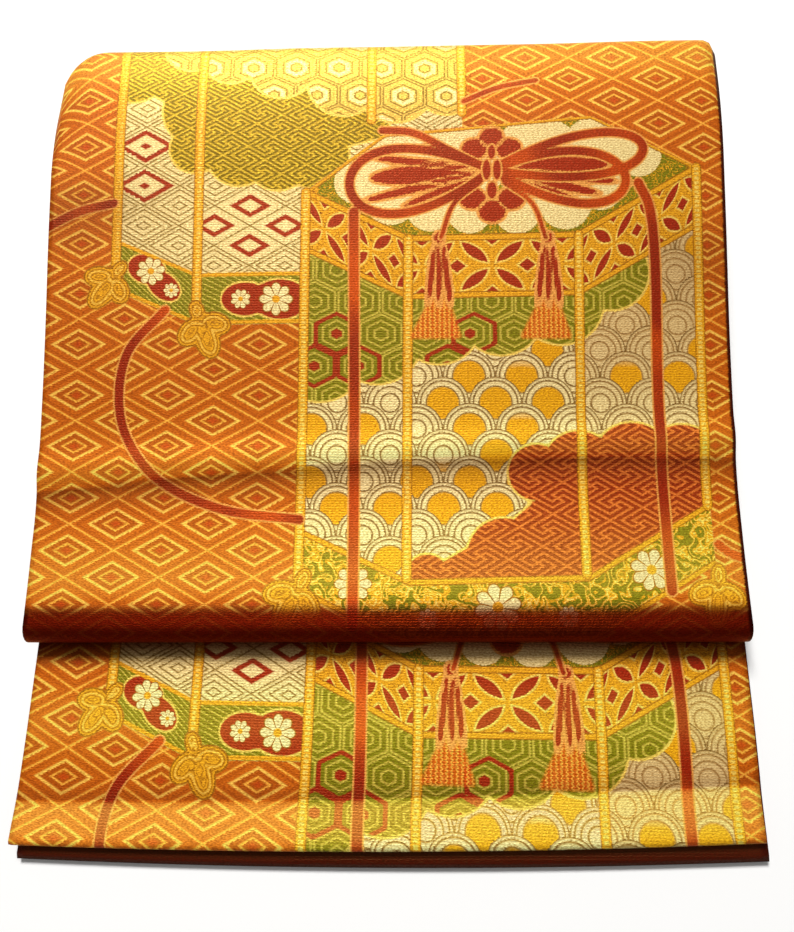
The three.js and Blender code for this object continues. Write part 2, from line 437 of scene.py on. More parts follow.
def boxOutline():
    front = [(x, box["foot"] + rise) for x, rise in zip(box["edges"], box["rises"])]
    lid = lidOutline()
    return [*front, *lid[3:], lid[0]]


def lidOutline():
    near = [(x, box["rimTop"] + rise) for x, rise in zip(box["edges"], box["rises"])]
    return [*near, *box["back"]]


def panelOutline():
    near = [(x, panel["foot"] + rise) for x, rise in zip(panel["edges"], panel["rises"])]
    return [*near, *panel["far"], (panel["right"], panel["top"]), (panel["edges"][0], panel["top"])]


def barLines():
    tops = [box["rimTop"] + rise for rise in box["rises"]]
    lines = []
    for x, top, lift in zip(box["edges"], tops, box["barLift"]):
        lines.append([(x, top), (x - box["barLean"], box["foot"] + lift)])
    for x, rise in zip(panel["edges"][:2], panel["rises"]):
        lines.append([(x, panel["top"]), (x, panel["foot"] + rise)])
    return lines + [[(x, panel["top"]), (x, foot)] for x, foot in panel["topBars"]]


# The bow, its leaves and lobes, and the tassels under it
def bowFields(x, y):
    cord = np.min([fromLine(x, y, bowLoop(knot, *loop)) for loop in bow["loops"]], axis=0) - bow["cord"]
    for half, points in cords:
        cord = np.minimum(cord, fromLine(x, y, curve(points)) - half)
    reds = []
    for start, end, breadth, turn in bow["leaves"]:
        out, angle = (start + end) / 2, math.radians(turn)
        spot = (knot[0] + out * math.cos(angle), knot[1] + out * math.sin(angle))
        reds.append(fromOval(x, y, spot, ((end - start) / 2, breadth), turn))
    for side, lift, *reach in bow["lobes"]:
        reds.append(fromOval(x, y, (knot[0] + side, knot[1] + lift), reach, 0))
    wraps = []
    for side, lift, *reach in bow["wraps"]:
        wraps.append(fromOval(x, y, (knot[0] + side, knot[1] + lift), reach, 0))
    skirts = np.full(len(x), farOff)
    for tx, ty in tassels["heads"]:
        reds.append(fromOval(x, y, (tx, ty), tassels["headSize"], 0))
        top = ty - tassels["neck"]
        foot = top - tassels["length"]
        for side in tassels["stripes"]:
            reach = (tassels["stripeHalf"], tassels["length"] / 2)
            reds.append(fromOval(x, y, (tx + side, (top + foot) / 2), reach, tassels["lean"] * side))
        left, right, tall = tassels["skirt"]
        waist = tassels["skirtTop"]
        hem = [(tx - left, foot - tall), (tx + right, foot - tall)]
        hem += [(tx + waist, foot + waist), (tx - waist, foot + waist)]
        skirts = np.minimum(skirts, fromOutline(x, y, hem) - tassels["round"])
    edges = np.min(np.abs(reds), axis=0)
    return {
        "cord": cord,
        "red": np.min(reds, axis=0),
        "edge": edges,
        "skirt": skirts,
        "turns": np.min(wraps, axis=0),
    }


# Painted light along the cloth: painted shade at the folds' fronts and under the old creases,
# painted highlight where it lies flat. Place along the cloth, then the painted light there.
paintedLightRun = [
    (-9, -0.6), (-4, 0.1), (4, 0.9), (15, 1), (17.5, 0.8), (19, -0.35), (24, -0.05), (33, 0.2), (45, 0.55),
    (56, 0.5), (64, 0.2), (69, 0), (74, -0.5), (79, -0.85), (88, -1), (95, -1), (130, 0), (600, -1),
    (642, -1), (644.5, -0.75), (647, 0), (650, 0.5), (658, 0.75), (668, 0.6), (680, 0.3), (690, 0.05),
    (698, -0.3), (703, -0.6), (705, 0.3), (708, 0.5), (722, 0.15), (750, 0), (870, 0.05), (884, 0.25),
    (896, 0.8), (912, 1), (924, 0.5), (936, 0.2),
]
# The upper old crease runs this much farther back in mid cloth
creaseBow = {"rise": 3.8, "from": 665, "to": 690, "end": 760}
# Spots of painted shade: across, along, reach each way, change of painted light
paintedShadeSpots = [(12, 828, 34, 15, -0.4), (298, 797, 26, 20, -0.3), (200, 862, 60, 12, -0.15)]


# Painted light at a spot of the cloth: painted shade below 0, painted highlight above 0
def paintedLightAt(x, place):
    across = x / fold["width"]
    bowed = creaseBow["rise"] * 4 * across * (1 - across)
    atCrease = smooth(place, creaseBow["from"], creaseBow["to"]) * (place < creaseBow["end"])
    run = place - bowed * atCrease
    paintedLight = np.interp(run, *np.array(paintedLightRun).T)
    for cx, cy, wide, tall, change in paintedShadeSpots:
        paintedLight += change * np.exp(-(((x - cx) / wide) ** 2) - ((place - cy) / tall) ** 2)
    return paintedLight


# The red rings among the panel's diamonds: the ring's place in its own diamond, elsewhere -1
def ringsAt(x, y):
    wide, tall = creamLattice["wide"], creamLattice["tall"]
    found = np.full(len(x), -1.0)
    for step, level, ring in redDiamonds:
        dx = np.abs(x - creamLattice["x"] - step * wide)
        dy = np.abs(y - creamLattice["y"] - level * tall)
        found[dx / wide + dy / tall < 1] = ring
    return found


def fromRedHexagons(x, y):
    wide, row = hexLattice["wide"], hexLattice["row"]
    found = np.full(len(x), farOff)
    for step, level in redHexagons:
        dx = np.abs(x - hexLattice["x"] - step * wide)
        dy = np.abs(y - hexLattice["y"] - level * row)
        found = np.minimum(found, (np.maximum(2 * dx / wide, dy * 1.5 / row + dx / wide) - 1) * wide / 2)
    return found


def fromScrolls(x, y):
    found = np.full(len(x), farOff)
    for (cx, cy), size, turn in scrollFeet:
        for fan, long, wide in scrollLobes:
            angle = math.radians(turn + fan)
            out = scrollReach["out"] * size * long
            half = scrollReach["half"] * size
            spot = (cx + out * math.cos(angle), cy + out * math.sin(angle))
            found = np.minimum(found, fromOval(x, y, spot, (half * long, half * wide), turn + fan))
    return found


# The nearest flower's own coordinates, in its sizes, and how far off it is
def flowerFields(x, y):
    best, flowerX, flowerY = (np.full(len(x), farOff) for _ in range(3))
    for cx, cy, size, turn in flowers:
        c, s = math.cos(math.radians(turn)), math.sin(math.radians(turn))
        fx = ((x - cx) * c + (y - cy) * s) / size
        fy = ((y - cy) * c - (x - cx) * s) / size
        away = np.hypot(fx, fy)
        flowerX = np.where(away < best, fx, flowerX)
        flowerY = np.where(away < best, fy, flowerY)
        best = np.minimum(best, away)
    return {"flowerX": flowerX, "flowerY": flowerY, "flower": best}


# One number at each spot of the cloth for each motif; the face's material draws from them
def motifs(x, y, place):
    y = (y - repeat["foot"]) % repeat["length"] + repeat["foot"]
    found = bowFields(x, y)
    # painted light along the cloth, for the face's material
    found["paintedLight"] = paintedLightAt(x, place)
    found["plain"] = smooth(place, marks["plainFrom"], marks["plainTo"])
    found["boxEdge"] = fromOutline(x, y, boxOutline())
    found["boxHeight"] = y - np.interp(x, box["edges"], box["rises"])
    found["around"] = np.interp(x, box["edges"], box["unrolled"])
    found["lid"] = fromOutline(x, y, lidOutline())
    found["lidPale"] = fromDiscs(x, y, lidPale)
    found["panelEdge"] = fromOutline(x, y, panelOutline())
    found["panelHeight"] = y - np.interp(x, panel["edges"], panel["rises"])
    found["bar"] = np.min([fromLine(x, y, points) for points in barLines()], axis=0)
    for name, (discs, solid) in clouds.items():
        found[name] = np.minimum(fromDiscs(x, y, discs), fromOutline(x, y, solid))
    found["creamRing"] = ringsAt(x, y)
    found["redHexagon"] = fromRedHexagons(x, y)
    found["cartouche"] = np.min([fromOval(x, y, *shape) for shape in cartouches], axis=0)
    found["scroll"] = fromScrolls(x, y)
    return found | flowerFields(x, y)


# Pieces of the cloth, which meet inside the stack: place along the cloth where each starts,
# then stretches across and along it, each with its length and the mesh's step
finerBox = [(114, 2.3), (186, 1.25), (10, 2.5)]
sheets = {
    "obi_inner": {"from": marks["start"], "across": [(310, 5)], "along": [(-60 - marks["start"], 5)]},
    "obi_lip": {"from": -60, "across": finerBox, "along": [(50, 2), (135, 1.15)]},
    "obi_middle": {"from": 125, "across": [(310, 5)], "along": [(435, 3.5)]},
    "obi_top": {
        "from": 560,
        "across": finerBox,
        "along": [(58, 2), (135, 1.9), (130, 1.25), (marks["underStart"] - 858, 2)],
    },
    "obi_back": {"from": marks["underStart"] + 25, "across": [(310, 5)], "along": [(477, 3.5)]},
    "obi_rear": {"from": marks["underStart"] + 502, "across": [(310, 1.6)], "along": [(110, 1.6)]},
    "obi_under": {
        "from": marks["underStart"] + 612,
        "across": [(310, 4)],
        "along": [(220, 4), (160, 2), (marks["end"] - marks["underStart"] - 992, 5)],
    },
}
marks["plainFrom"] = sheets["obi_under"]["from"]  # from here on the hidden cloth has no pattern
marks["plainTo"] = marks["plainFrom"] + 20
sheetThickness = 1.15


def stationsAt(places):
    columns = [np.interp(places, length, values) for values in (*line.T, *along.T)]
    return np.stack(columns, axis=1)


# Where a grid's lines lie in stretches of a given length and step
def gridLines(stretches):
    lines = [0.0]
    for span, step in stretches:
        count = max(round(span / step), 1)
        lines += [lines[-1] + span * (index + 1) / count for index in range(count)]
    return np.array(lines)


# A flat grid laid on the fold, with the cloth's own coordinates in its texture map
def foldedSheet(name, settings):
    acrossLines = gridLines(settings["across"]) / fold["width"]
    alongLines = gridLines(settings["along"]) + settings["from"]
    mesh = bmesh.new()
    counts = {"x_segments": len(acrossLines) - 1, "y_segments": len(alongLines) - 1}
    bmesh.ops.create_grid(mesh, **counts, size=0.5)
    flat = np.array([vert.co for vert in mesh.verts])
    across = acrossLines[np.round((flat[:, 0] + 0.5) * counts["x_segments"]).astype(int)]
    place = alongLines[np.round((flat[:, 1] + 0.5) * counts["y_segments"]).astype(int)]
    depth, height, slip, alongDepth, alongHeight = stationsAt(place).T
    spots = placed(across, depth, height, slip) * metre + shift
    for vert, spot in zip(mesh.verts, spots):
        vert.co = spot
    wovenX, wovenY = wovenSpot(across, place, depth, alongDepth)
    clothMap = mesh.loops.layers.uv.new("cloth")
    for face in mesh.faces:
        face.smooth = True
        for loop in face.loops:
            vertex = loop.vert.index
            loop[clothMap].uv = (wovenX[vertex] * metre, wovenY[vertex] * metre)
    data = bpy.data.meshes.new(name)
    mesh.to_mesh(data)
    mesh.free()
    for motif, values in motifs(wovenX, wovenY, place).items():
        layer = data.attributes.new(motif, "FLOAT", "POINT")
        layer.data.foreach_set("value", values.astype(np.float32))
    piece = bpy.data.objects.new(name, data)
    bpy.context.scene.collection.objects.link(piece)
    thicken = piece.modifiers.new("thickness", "SOLIDIFY")
    thicken.thickness = sheetThickness * metre
    thicken.offset = 0
    thicken.use_even_offset = False
    thicken.material_offset = 1
    thicken.material_offset_rim = 2
    return piece


# A socket, or a tree alone, with the operators that add a node for each step
class Wire:
    def __init__(self, tree, socket=None):
        self.tree = tree
        self.socket = socket

    def node(self, kind, settings=None, inputs=None, output=0):
        made = self.tree.nodes.new(kind)
        for name, value in (settings or {}).items():
            setattr(made, name, value)
        for name, value in (inputs or {}).items():
            if isinstance(value, Wire):
                self.tree.links.new(value.socket, made.inputs[name])
            else:
                made.inputs[name].default_value = value
        return Wire(self.tree, made.outputs[output])

    def math(self, operation, *values, clamp=False):
        settings = {"operation": operation, "use_clamp": clamp}
        return self.node("ShaderNodeMath", settings, dict(enumerate(values)))

    def __add__(self, other):
        return self.math("ADD", self, other)

    def __sub__(self, other):
        return self.math("SUBTRACT", self, other)

    def __rsub__(self, other):
        return self.math("SUBTRACT", other, self)

    def __mul__(self, other):
        return self.math("MULTIPLY", self, other)

    def __truediv__(self, other):
        return self.math("DIVIDE", self, other)

    def __abs__(self):
        return self.math("ABSOLUTE", self)

    __radd__ = __add__
    __rmul__ = __mul__


# Masks: 1 on one side of an edge, above or below it, and 0 on the other
def above(value, edge, soft):
    return value.math("MULTIPLY_ADD", value, 1 / soft, 0.5 - edge / soft, clamp=True)


def below(value, edge, soft):
    return value.math("MULTIPLY_ADD", value, -1 / soft, 0.5 + edge / soft, clamp=True)


def painted(base, colour, mask):
    return mask.node("ShaderNodeMix", {"data_type": "RGBA"}, {0: mask, 6: base, 7: colour}, 2)


def dyed(base, colour, mask):
    settings = {"data_type": "RGBA", "blend_type": "MULTIPLY", "clamp_result": True}
    return mask.node("ShaderNodeMix", settings, {0: mask, 6: base, 7: colour}, 2)


# Dyes laid one on another, each wherever a value is below the edge that its row gives
def layered(base, value, rows, inside=None):
    for name, edge, soft in rows:
        mask = below(value, edge, soft)
        base = painted(base, dye[name], inside * mask if inside else mask)
    return base


# A colour given as it looks on a screen, turned to linear light
def tone(*levels):
    shares = [level / 255 for level in levels]
    linear = [c / 12.92 if c < 0.04045 else ((c + 0.055) / 1.055) ** 2.4 for c in shares]
    return (*linear, 1.0)


def newMaterial(name):
    material = bpy.data.materials.new(name)
    material.use_nodes = True
    tree = material.node_tree
    shader = next(node for node in tree.nodes if node.type == "BSDF_PRINCIPLED")
    return material, tree, shader


# The dyes of the cloth, as they look on a screen
dye = {
    "satin": tone(205, 97, 10),
    "bronze": tone(184, 82, 5),
    "ember": tone(198, 72, 8),
    "line": tone(255, 182, 66),
    "brightLine": tone(255, 200, 84),
    # colours of the painted highlight and the painted shade
    "paintedHighlight": tone(255, 198, 84),
    "paintedShadeRed": tone(112, 16, 3),
    "cord": tone(156, 22, 2),
    "cordBright": tone(228, 84, 10),
    "cordEdge": tone(242, 164, 78),
    "crimson": tone(166, 26, 6),
    "gold": tone(240, 168, 28),
    "goldDeep": tone(158, 94, 6),
    "goldPale": tone(252, 212, 96),
    "cream": tone(250, 224, 154),
    "creamLine": tone(146, 112, 40),
    "paleGold": tone(242, 198, 88),
    "olive": tone(128, 104, 2),
    "oliveLine": tone(222, 182, 44),
    "green": tone(128, 122, 8),
    "greenLine": tone(206, 184, 70),
    "fret": tone(156, 42, 6),
    "fretLine": tone(228, 116, 44),
    "wave": tone(251, 225, 160),
    "waveShade": tone(200, 152, 88),
    "waveLine": tone(134, 96, 42),
    "waveGold": tone(240, 168, 16),
    "white": tone(250, 230, 162),
    "reverse": tone(110, 10, 4),
    # very dark red of the plain hidden cloth and the selvedges, also laid as painted shade at the right
    # edge and under the lip
    "hidden": tone(74, 5, 2),
    "fleck": tone(226, 200, 150),
    "glint": tone(255, 205, 120),
}
edgeSoft = 0.45  # mm over which a drawn edge fades
# Fine repeats, placed from 0 in a repeat's middle to 1 on its edge. Thin lines have a half width
# and a softness. A row of layers is a dye, the edge that it reaches to, and how soft this is.
# Most pairs are an edge and its softness.
ground = {"x": 15.3, "y": 739.1, "wide": 20.4, "tall": 11.6}
ground |= {
    "layers": [("bronze", 0.5, 0.06), ("ember", 0.12, 0.05)],
    "lines": (0.26, 1.0),
    "half": 0.036,
    "soft": 0.06,
    "band": {"lines": (0.84,), "half": 0.04, "soft": 0.08},
    "ring": {"lines": (0.56,), "half": 0.052, "soft": 0.06},
}
oliveFret = {"wide": 3.84, "tall": 2.19, "line": ("oliveLine", 0.22, 0.14)}
redFret = {"wide": 5.0, "tall": 2.85, "line": ("fretLine", 0.2, 0.14)}
# The key fret in its own spacings: each line's breaks move on by a step on the next line
keyPlan = {"step": 5, "half": 13, "first": 1, "middle": 6, "reach": 1, "last": 9}
paleLattice = {"x": 111.5, "y": 895.4, "wide": 20.1, "row": 14.8}
paleLattice |= {"lines": (0.24, 0.6, 0.93), "half": 0.04, "soft": 0.05}
paleLattice |= {"ringFrom": 0.3, "ringTo": 0.5, "ringSoft": 0.06}
waveRows = {"x": 155.7, "y": 688, "wide": 23.7, "row": 11.9, "radius": 11.85, "rim": (0.95, 0.06)}
waveRows |= {
    "lines": (0.36, 0.62, 0.84),
    "half": 0.034,
    "soft": 0.05,
    "golden": [("waveGold", 0.6, 0.05)],
    "goldRise": 0.002,  # fewer golden middles higher up
    "goldFrom": (-0.84, 0.01),
    "shadeAbove": (740, 60),  # on the right face
    "shade": 0.5,
}
rimPetals = {
    "x": 202.3,
    "y": 798,
    "wide": 16,
    "tall": 12.8,
    "petals": [("goldPale", 0.94, 0.04), ("crimson", 0.88, 0.03)],
    "squares": [("goldPale", 0.32, 0.05), ("crimson", 0.24, 0.05)],
}
# Curling scrolls, drawn by noise
curlBend = 1.4
bandCurls = {"size": 6, "layers": [("gold", 0.12, 0.03), ("goldPale", 0.035, 0.02)]}
rimCurls = {"size": 2.6, "layers": [("goldDeep", 0.03, 0.03)]}
lidCurls = {"size": 3, "layers": [("gold", 0.05, 0.03)]}
weave = {
    "thread": 1.1,  # size of the uneven spots, and how many times lower than long they are
    "flatness": 2.4,
    "stray": 0.9,  # threads stray this far from a drawn edge
    "shade": (0.62, 0.52, 0.42, 1),
    "grainShade": (0.02, 0.35),
    "rib": 1.15,  # from one weft rib to the next
    "ribLine": (0.1, 0.2),
    "barReach": 2,
    "figuredSoft": 0.6,
    "ribShare": (0.5, 0.12),  # what figured cloth adds, and what lies anywhere
    "ribHeight": (0.8, 0.2),  # the same
    "grainHeight": 1.2,
    "height": 0.00016,
    "relief": 0.7,
    "rough": 0.56,
    "smoother": 0.08,
    "uneven": 0.25,
    "specular": 0.5,
    # breadth of a band of painted shade along the right selvedge, for the shaded edges of the plies
    # beneath
    "selvedge": 1.5,
    "paintedShadeEdgeSoft": 0.7,
}
# These fields are distances in mm
distances = ("boxEdge", "lid", "lidPale", "panelEdge", "bar", "pale", "olive", "green", "fretted")
distances += ("redHexagon", "cartouche", "scroll", "cord", "red", "edge", "skirt", "turns")
distances += ("boxHeight", "panelHeight")


def wrap(value, half):
    return value.math("WRAP", value, half, -half)


def least(first, *rest):
    for other in rest:
        first = first.math("MINIMUM", first, other)
    return first


def most(first, *rest):
    for other in rest:
        first = first.math("MAXIMUM", first, other)
    return first


def distance(x, y):
    return x.math("SQRT", x * x + y * y)


# 0 in the middle of each diamond, 1 on the lines between them
def diamonds(x, y, settings):
    u = (x - settings["x"]) / (2 * settings["wide"])
    v = (y - settings["y"]) / (2 * settings["tall"])
    return most(abs(wrap(u + v, 0.5)), abs(wrap(u - v, 0.5))) * 2


# The same for hexagons that stand on a point
def hexagons(x, y, settings):
    wide, row = settings["wide"], settings["row"]
    rings = []
    for side in (0, 1):
        dx = abs(wrap(x - settings["x"] - side * wide / 2, wide / 2)) / wide
        dy = abs(wrap(y - settings["y"] - side * row, row))
        rings.append(most(dx * 2, dy * (1.5 / row) + dx))
    return least(*rings)


# Interlocked key pattern: how far a spot lies from its lines, in spacings
def keyFret(x, y, settings):
    right, up = x / settings["wide"], y / settings["tall"]
    p, q = right + up, right - up
    step, reach = keyPlan["step"], keyPlan["reach"]
    lines = []
    for run, cross, move in ((p, q, -step), (q, p, step)):
        index = cross.math("ROUND", cross)
        place = abs(wrap(run + index * move, keyPlan["half"]))
        middle = abs(place - keyPlan["middle"]) - reach
        stretch = least(place - keyPlan["first"], middle, keyPlan["last"] - place)
        lines.append(most(abs(cross - index), stretch))
    return least(*lines)


# Overlapping round waves: distance from each one's middle, and a number of its own
def waves(x, y, settings):
    wide, row = settings["wide"], settings["row"]
    height = (y - settings["y"]) / row
    level = height.math("FLOOR", height)
    up = (height - level) * row
    stagger = level.math("FLOORED_MODULO", level, 2) * (wide / 2)
    across = x - settings["x"] - stagger
    near = wrap(across, wide / 2)
    far = wrap(across - wide / 2, wide / 2)
    low = distance(near, up)
    inFront = low.math("LESS_THAN", low, settings["radius"])
    high = distance(far, row - up)
    spread = high + (low - high) * inFront
    offset = far + (near - far) * inFront
    column = (x - settings["x"] - offset) * (2 / wide)
    column = column.math("ROUND", column)
    cell = x.node("ShaderNodeCombineXYZ", None, {0: column, 1: level - inFront, 2: 0.0})
    chance = x.node("ShaderNodeTexWhiteNoise", {"noise_dimensions": "2D"}, {"Vector": cell}, "Value")
    return spread / settings["radius"], chance


# Four-petalled rounds that share their petals: nearness to a petal, and to the small squares
def petals(x, y, settings):
    u, v = (x - settings["x"]) / settings["wide"], (y - settings["y"]) / settings["tall"]
    u, v = u.math("PINGPONG", u, 1), v.math("PINGPONG", v, 1)
    petal = most(distance(u - 1, v), distance(u, v - 1))
    square = least(abs(u - 1) + v, u + abs(v - 1))
    return petal, square


# Thin lines at the settings' places
def lined(base, colour, value, settings):
    for place in settings["lines"]:
        base = painted(base, colour, below(abs(value - place), settings["half"], settings["soft"]))
    return base


# A motif with a pale gold line round it, inside a mask
def outlined(base, fill, away, half, inside):
    base = painted(base, fill, inside * below(away, 0, edgeSoft))
    return layered(base, abs(away), [("goldPale", half, edgeSoft)], inside)


def fretted(fill, x, y, settings):
    return layered(fill, keyFret(x, y, settings), [settings["line"]])


# Noise over the cloth, from 0 to 1
def clothNoise(x, y, **sockets):
    place = x.node("ShaderNodeCombineXYZ", None, {0: x, 1: y, 2: 0.0})
    return x.node("ShaderNodeTexNoise", {"noise_dimensions": "2D"}, {"Vector": place} | sockets, 0)


def curled(base, x, y, settings):
    curl = clothNoise(x, y, Scale=1 / settings["size"], Detail=0.0, Distortion=curlBend)
    return layered(base, abs(curl - 0.5), settings["layers"])


def groundCloth(x, y):
    reach = diamonds(x, y, ground)
    colour = layered(dye["satin"], reach, ground["layers"])
    colour = lined(colour, dye["bronze"], reach, ground["band"])
    colour = lined(colour, dye["brightLine"], reach, ground["ring"])
    return lined(colour, dye["line"], reach, ground)


panelLooks = {
    "ringed": (0.2, 0.1),
    "cleared": [("cream", 0.85, 0.05)],  # within a ringed diamond
    "ring": [("crimson", 0.13, 0.06)],
    "hearted": (0.6, 0.1),  # rings past this place have a red heart
    "heart": [("crimson", 0.17, 0.06)],
    "oliveEdge": 0.5,
    "paleEdge": 0.6,
    "cartoucheEdge": 0.4,
    "hatchSlant": 0.5,
    "hatch": 1.2,
    "hatchLine": [("greenLine", 0.3, 0.3)],
    "bandLine": [("gold", 0.9, edgeSoft)],
    "footLift": 1,
}


# Cream diamonds, some with a red ring
def creamCloth(field, x, y):
    looks = panelLooks
    reach = diamonds(x, y, creamLattice)
    ring = field("creamRing")
    cream = lined(dye["cream"], dye["creamLine"], reach, creamLattice)
    cream = layered(cream, reach, looks["cleared"], above(ring, *looks["ringed"]))
    cream = layered(cream, abs(reach - ring), looks["ring"])
    return layered(cream, reach, looks["heart"], above(ring, *looks["hearted"]))


# Hexagons with a cream ring in each
def paleCloth(x, y):
    near = hexagons(x, y, paleLattice)
    kikko = lined(dye["paleGold"], dye["creamLine"], near, paleLattice)
    soft = paleLattice["ringSoft"]
    ring = below(near, paleLattice["ringTo"], soft) * above(near, paleLattice["ringFrom"], soft)
    return painted(kikko, dye["cream"], ring)


def panelCloth(colour, field, x, y):
    looks = panelLooks
    inside = below(field("panelEdge"), 0, edgeSoft)
    colour = painted(colour, creamCloth(field, x, y), inside)
    fret = fretted(dye["olive"], x, y, oliveFret)
    colour = outlined(colour, fret, field("olive"), looks["oliveEdge"], inside)
    colour = outlined(colour, paleCloth(x, y), field("pale"), looks["paleEdge"], inside)
    height = field("panelHeight")
    hatch = abs(wrap(height + x * looks["hatchSlant"], looks["hatch"]))
    band = layered(dye["green"], hatch, looks["hatchLine"])
    colour = painted(colour, band, inside * below(height, panel["bandTop"], edgeSoft))
    colour = outlined(colour, dye["crimson"], field("cartouche"), looks["cartoucheEdge"], inside)
    foot = panel["foot"] + looks["footLift"]
    edges = least(abs(height - panel["bandTop"]), abs(height - foot))
    return layered(colour, edges, looks["bandLine"], inside)


boxLooks = {
    "cloudEdge": 0.5,
    "redLineAt": -0.7,  # the middle of a red hexagon's line, inside its edge
    "redLine": [("crimson", 1.0, edgeSoft)],
    "heartInside": (-5, 2),
    "heart": [("crimson", 0.24, 0.06)],
    "lidPale": [("cream", 0, edgeSoft)],
    "footLift": 1,
    "bandLines": [("goldDeep", 1.5, edgeSoft), ("gold", 1.0, edgeSoft)],
}


def waveCloth(x, y):
    rows = waveRows
    spread, chance = waves(x, y, rows)
    wave = lined(dye["wave"], dye["waveLine"], spread, rows)
    rightFace = above(x, box["edges"][2], 1)
    wave = painted(wave, dye["waveShade"], rightFace * above(y, *rows["shadeAbove"]) * rows["shade"])
    golden = above(chance - y * rows["goldRise"], *rows["goldFrom"])
    wave = layered(wave, spread, rows["golden"], golden)
    return painted(wave, dye["waveLine"], above(spread, *rows["rim"]))


# Green hexagons, some with a red line and heart
def greenCloth(field, x, y):
    looks = boxLooks
    near = hexagons(x, y, hexLattice)
    kikko = lined(dye["green"], dye["greenLine"], near, hexLattice)
    red = field("redHexagon")
    kikko = layered(kikko, abs(red - looks["redLineAt"]), looks["redLine"])
    return layered(kikko, near, looks["heart"], below(red, *looks["heartInside"]))


def rimCloth(field, x, y, height):
    rim = curled(dye["gold"], x, y, rimCurls)
    petal, square = petals(field("around"), height, rimPetals)
    rim = layered(rim, petal, rimPetals["petals"])
    return layered(rim, square, rimPetals["squares"])


def boxCloth(colour, field, x, y):
    looks = boxLooks
    inside = below(field("boxEdge"), 0, edgeSoft)
    colour = painted(colour, waveCloth(x, y), inside)
    colour = outlined(colour, greenCloth(field, x, y), field("green"), looks["cloudEdge"], inside)
    fret = fretted(dye["fret"], x, y, redFret)
    colour = outlined(colour, fret, field("fretted"), looks["cloudEdge"], inside)
    height = field("boxHeight")
    band = curled(dye["green"], x, y, bandCurls)
    colour = painted(colour, band, inside * below(height, box["bandTop"], edgeSoft))
    rim = rimCloth(field, x, y, height)
    colour = painted(colour, rim, inside * above(height, box["rimFoot"], edgeSoft))
    lid = field("lid")
    top = curled(dye["green"], x, y, lidCurls)
    top = layered(top, field("lidPale"), looks["lidPale"])
    colour = painted(colour, top, below(lid, 0, edgeSoft))
    bands = (box["foot"] + looks["footLift"], box["bandTop"], box["rimFoot"], box["rimTop"])
    edges = least(abs(lid), *[abs(height - band) for band in bands])
    return layered(colour, edges, looks["bandLines"], inside)


bars = {
    "layers": [("goldDeep", 2.3, edgeSoft), ("gold", 1.9, edgeSoft)],
    "shine": [("goldPale", 1.0, 0.6)],
    "rib": 1.1,
    "ribGap": (0.7, 0.4),
}
feet = {
    "lines": (-1.6, -3.4, -5.0),
    "half": 0.22,
    "soft": edgeSoft,
    "shineAt": -2.5,
    "shine": (0.3, edgeSoft),
    "shineShare": 0.6,
    "edgeAt": -0.3,
    "edge": [("goldDeep", 0.35, edgeSoft)],
}
petalled = {
    "near": (1.06, 0.05),  # nothing is drawn past this, in flower sizes
    "petals": 4,  # pairs of them
    "lobe": 0.26,
    "edge": [("goldDeep", 0.8, 0.06)],
    "white": [("white", 0.72, 0.06)],
    "parting": (0.22, 0.2),
    "middle": [("gold", 0.24, 0.06)],
}


def barsAndFeet(colour, field, x, y):
    bar = field("bar")
    colour = layered(colour, bar, bars["layers"])
    ribs = below(abs(wrap(y, bars["rib"])), *bars["ribGap"])
    colour = layered(colour, bar, bars["shine"], ribs)
    scroll = field("scroll")
    gold = lined(dye["gold"], dye["goldDeep"], scroll, feet)
    shine = below(abs(scroll - feet["shineAt"]), *feet["shine"]) * feet["shineShare"]
    gold = painted(gold, dye["goldPale"], shine)
    colour = painted(colour, gold, below(scroll, 0, edgeSoft))
    return layered(colour, abs(scroll - feet["edgeAt"]), feet["edge"])


def flowerCloth(colour, field):
    fx, fy = field("flowerX"), field("flowerY")
    spread = distance(fx, fy)
    turn = fx.math("ARCTAN2", fy, fx) * petalled["petals"]
    lobe = abs(turn.math("COSINE", turn))
    edge = spread - lobe * petalled["lobe"]
    near = below(field("flower"), *petalled["near"])
    colour = layered(colour, edge, petalled["edge"], near)
    colour = layered(colour, edge, petalled["white"], near * above(lobe, *petalled["parting"]))
    return layered(colour, spread, petalled["middle"], near)


tuft = {"wide": 1.1, "tall": 0.9, "soft": 1.6, "share": 0.8, "dots": [("line", 0.65, 0.3)]}
silkCord = {
    "red": [("cordEdge", 1.0, edgeSoft), ("crimson", 0, edgeSoft)],
    "line": [("cordEdge", 0.4, edgeSoft)],
    "edge": 0.35,
    "drift": 0.022,  # turns of brightness for each mm along
    "bright": (0.56, 0.3),
    "brightShare": 0.7,
    "turns": [("cordEdge", 0.4, edgeSoft), ("crimson", -0.45, edgeSoft)],
}


def bowCloth(colour, field, x, y):
    column = x.math("FLOOR", x / (2 * tuft["wide"]))
    dots = distance(wrap(x, tuft["wide"]), wrap(y + column * tuft["tall"], tuft["tall"]))
    skirt = below(field("skirt"), 0, tuft["soft"])
    colour = painted(colour, dye["cordBright"], skirt * tuft["share"])
    colour = layered(colour, dots, tuft["dots"], skirt)
    colour = layered(colour, field("red"), silkCord["red"])
    colour = layered(colour, abs(field("edge")), silkCord["line"])
    cord = field("cord")
    colour = layered(colour, cord, [("cordEdge", silkCord["edge"], edgeSoft)])
    drift = clothNoise(x, y, Scale=silkCord["drift"])
    bright = above(drift, *silkCord["bright"]) * silkCord["brightShare"]
    silk = painted(dye["cord"], dye["cordBright"], bright)
    colour = painted(colour, silk, below(cord, -silkCord["edge"], edgeSoft))
    return layered(colour, field("turns"), silkCord["turns"])


